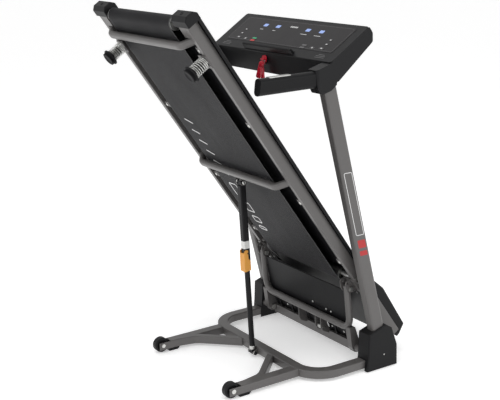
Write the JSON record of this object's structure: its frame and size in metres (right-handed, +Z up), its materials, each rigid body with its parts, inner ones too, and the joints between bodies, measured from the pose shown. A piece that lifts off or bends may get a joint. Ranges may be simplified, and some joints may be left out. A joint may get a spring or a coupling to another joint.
{
  "type": "treadmill",
  "caption": "Folding motorised treadmill stored upright: running deck with belt and rollers on a lift frame, hooped base, raked uprights, sloping console and handles, gas strut.",
  "frame": {"origin": "on the floor, at the middle of the folded machine's footprint", "axes": "+X towards the user's right, +Y the way the user faces (towards the console), +Z up"},
  "size_m": [0.736, 0.8663, 1.3061],
  "materials": {
    "frame_paint": "satin grey",
    "black_steel": "satin black",
    "zinc": "bright zinc",
    "iron": "turned",
    "black_plastic": "fine grain",
    "overlay": "gloss",
    "keys": "satin",
    "handle_plastic": "fine grain",
    "red_plastic": "gloss",
    "orange_plastic": "satin",
    "board": "black laminated board",
    "belt": "fine textured",
    "rubber": "matt",
    "circuit": "circuit board"
  },
  "bodies": {
    "base": {"base_hoop": "frame_paint", "base_leg_left": "frame_paint", "base_leg_right": "frame_paint", "wheel_axles": "zinc", "floor_pads": "rubber", "pivot_brackets": "frame_paint", "fold_pivot_bolts": "zinc", "upright_left": "frame_paint", "upright_right": "frame_paint", "boot_left": "black_plastic", "boot_right": "black_plastic", "console_housing": "black_plastic", "console_cover": "black_plastic", "display_overlay": "overlay", "reading_rack": "black_plastic", "console_keys": "keys", "console_crossbar": "black_steel", "handle_left": "handle_plastic", "handle_right": "handle_plastic", "handle_end_caps": "black_plastic", "pulse_plates": "zinc"},
    "lift": {"lift_frame": "frame_paint", "lift_guard": "black_plastic"},
    "deck": {"deck_rail_left": "frame_paint", "deck_rail_right": "frame_paint", "deck_cross_tubes": "frame_paint", "incline_brackets": "frame_paint", "incline_bolts": "zinc", "strut_bracket": "frame_paint", "running_board": "board", "walking_belt": "belt", "roller_brackets": "frame_paint", "foot_rail_left": "black_plastic", "foot_rail_right": "black_plastic", "end_cap_left": "black_plastic", "end_cap_right": "black_plastic", "motor_tray": "black_steel", "drive_motor": "black_steel", "drive_belt": "belt", "motor_controller": "circuit", "motor_hood": "black_plastic", "mains_inlet": "black_plastic", "deck_screws": "zinc", "foot_spring_left": "zinc", "foot_spring_right": "zinc"},
    "wheel_left": {"transport_wheel_left": "black_plastic"},
    "wheel_right": {"transport_wheel_right": "black_plastic"},
    "flywheel": {"flywheel": "iron"},
    "front_roller": {"front_roller": "zinc"},
    "rear_roller": {"rear_roller": "zinc"},
    "actuator_body": {"incline_actuator": "black_plastic"},
    "actuator_rod": {"actuator_rod": "zinc"},
    "strut_tube": {"strut_tube": "black_steel"},
    "strut_sleeve": {"strut_sleeve": "black_steel"},
    "strut_latch": {"strut_latch": "orange_plastic"},
    "foot_left": {"spring_foot_left": "rubber"},
    "foot_right": {"spring_foot_right": "rubber"},
    "rocker_switch": {"rocker_switch": "black_plastic"},
    "safety_key": {"safety_key": "red_plastic", "safety_clip": "red_plastic"}
  },
  "joints": [
    {"name": "deck_fold", "type": "hinge", "parent": "base", "child": "lift", "pos_m": [0, 0.2289, 0.06], "axis": [1, 0, 0], "range_deg": [0, 80.19]},
    {"name": "deck_incline", "type": "hinge", "parent": "lift", "child": "deck", "pos_m": [0, 0.19878, 0.29111], "axis": [1, 0, 0], "range_deg": [-22.9, 0]},
    {"name": "strut_swing", "type": "hinge", "parent": "base", "child": "strut_tube", "pos_m": [0, -0.0361, 0.018], "axis": [1, 0, 0], "range_deg": [0, 82.78]},
    {"name": "strut_stroke", "type": "slide", "parent": "strut_tube", "child": "strut_sleeve", "axis": [0, -0.0352, 0.9994], "range_m": [-0.2246, 0]},
    {"name": "actuator_swing", "type": "hinge", "parent": "deck", "child": "actuator_body", "pos_m": [0.08, 0.38354, 0.17274], "axis": [1, 0, 0], "range_deg": [0, 8.72]},
    {"name": "actuator_stroke", "type": "slide", "parent": "actuator_body", "child": "actuator_rod", "axis": [0, -0.8815, -0.4723], "range_m": [-0.0797, 0]},
    {"name": "strut_latch_turn", "type": "hinge", "parent": "strut_sleeve", "child": "strut_latch", "pos_m": [0, -0.04971, 0.40465], "axis": [-1, 0, 0], "range_deg": [0, 6], "stiffness_Nm_per_rad": 1.5},
    {"name": "wheel_left_spin", "type": "hinge", "parent": "base", "child": "wheel_left", "pos_m": [-0.247, -0.2867, 0.029], "axis": [1, 0, 0], "continuous": true},
    {"name": "wheel_right_spin", "type": "hinge", "parent": "base", "child": "wheel_right", "pos_m": [0.247, -0.2867, 0.029], "axis": [1, 0, 0], "continuous": true},
    {"name": "flywheel_spin", "type": "hinge", "parent": "deck", "child": "flywheel", "pos_m": [-0.2, 0.32903, 0.2085], "axis": [1, 0, 0], "continuous": true},
    {"name": "front_roller_spin", "type": "hinge", "parent": "deck", "child": "front_roller", "pos_m": [0, 0.21985, 0.328], "axis": [1, 0, 0], "continuous": true},
    {"name": "rear_roller_spin", "type": "hinge", "parent": "deck", "child": "rear_roller", "pos_m": [0, -0.40451, 1.26384], "axis": [1, 0, 0], "continuous": true},
    {"name": "foot_left_press", "type": "slide", "parent": "deck", "child": "foot_left", "axis": [0, 0.8319, 0.555], "range_m": [0, 0.01], "stiffness_N_per_m": 12000, "deforming": ["foot_spring_left"]},
    {"name": "foot_right_press", "type": "slide", "parent": "deck", "child": "foot_right", "axis": [0, 0.8319, 0.555], "range_m": [0, 0.01], "stiffness_N_per_m": 12000, "deforming": ["foot_spring_right"]},
    {"name": "rocker_switch_turn", "type": "hinge", "parent": "deck", "child": "rocker_switch", "pos_m": [-0.2, 0.4041, 0.08067], "axis": [1, 0, 0], "range_deg": [0, 14]},
    {"name": "safety_key_pull", "type": "slide", "parent": "base", "child": "safety_key", "axis": [0, -1, 0], "range_m": [0, 0.03]}
  ],
  "couplings": [
    {"joint": "deck_incline", "follows": "deck_fold", "ratio": -0.28552},
    {"joint": "strut_swing", "follows": "deck_fold", "ratio": 1.0323},
    {"joint": "strut_stroke", "follows": "deck_fold", "m_per_rad": -0.16037},
    {"joint": "actuator_swing", "follows": "deck_fold", "ratio": 0.10869},
    {"joint": "actuator_stroke", "follows": "deck_fold", "m_per_rad": -0.056921},
    {"joint": "front_roller_spin", "follows": "flywheel_spin", "ratio": 0.57143},
    {"joint": "rear_roller_spin", "follows": "flywheel_spin", "ratio": 0.57143}
  ]
}
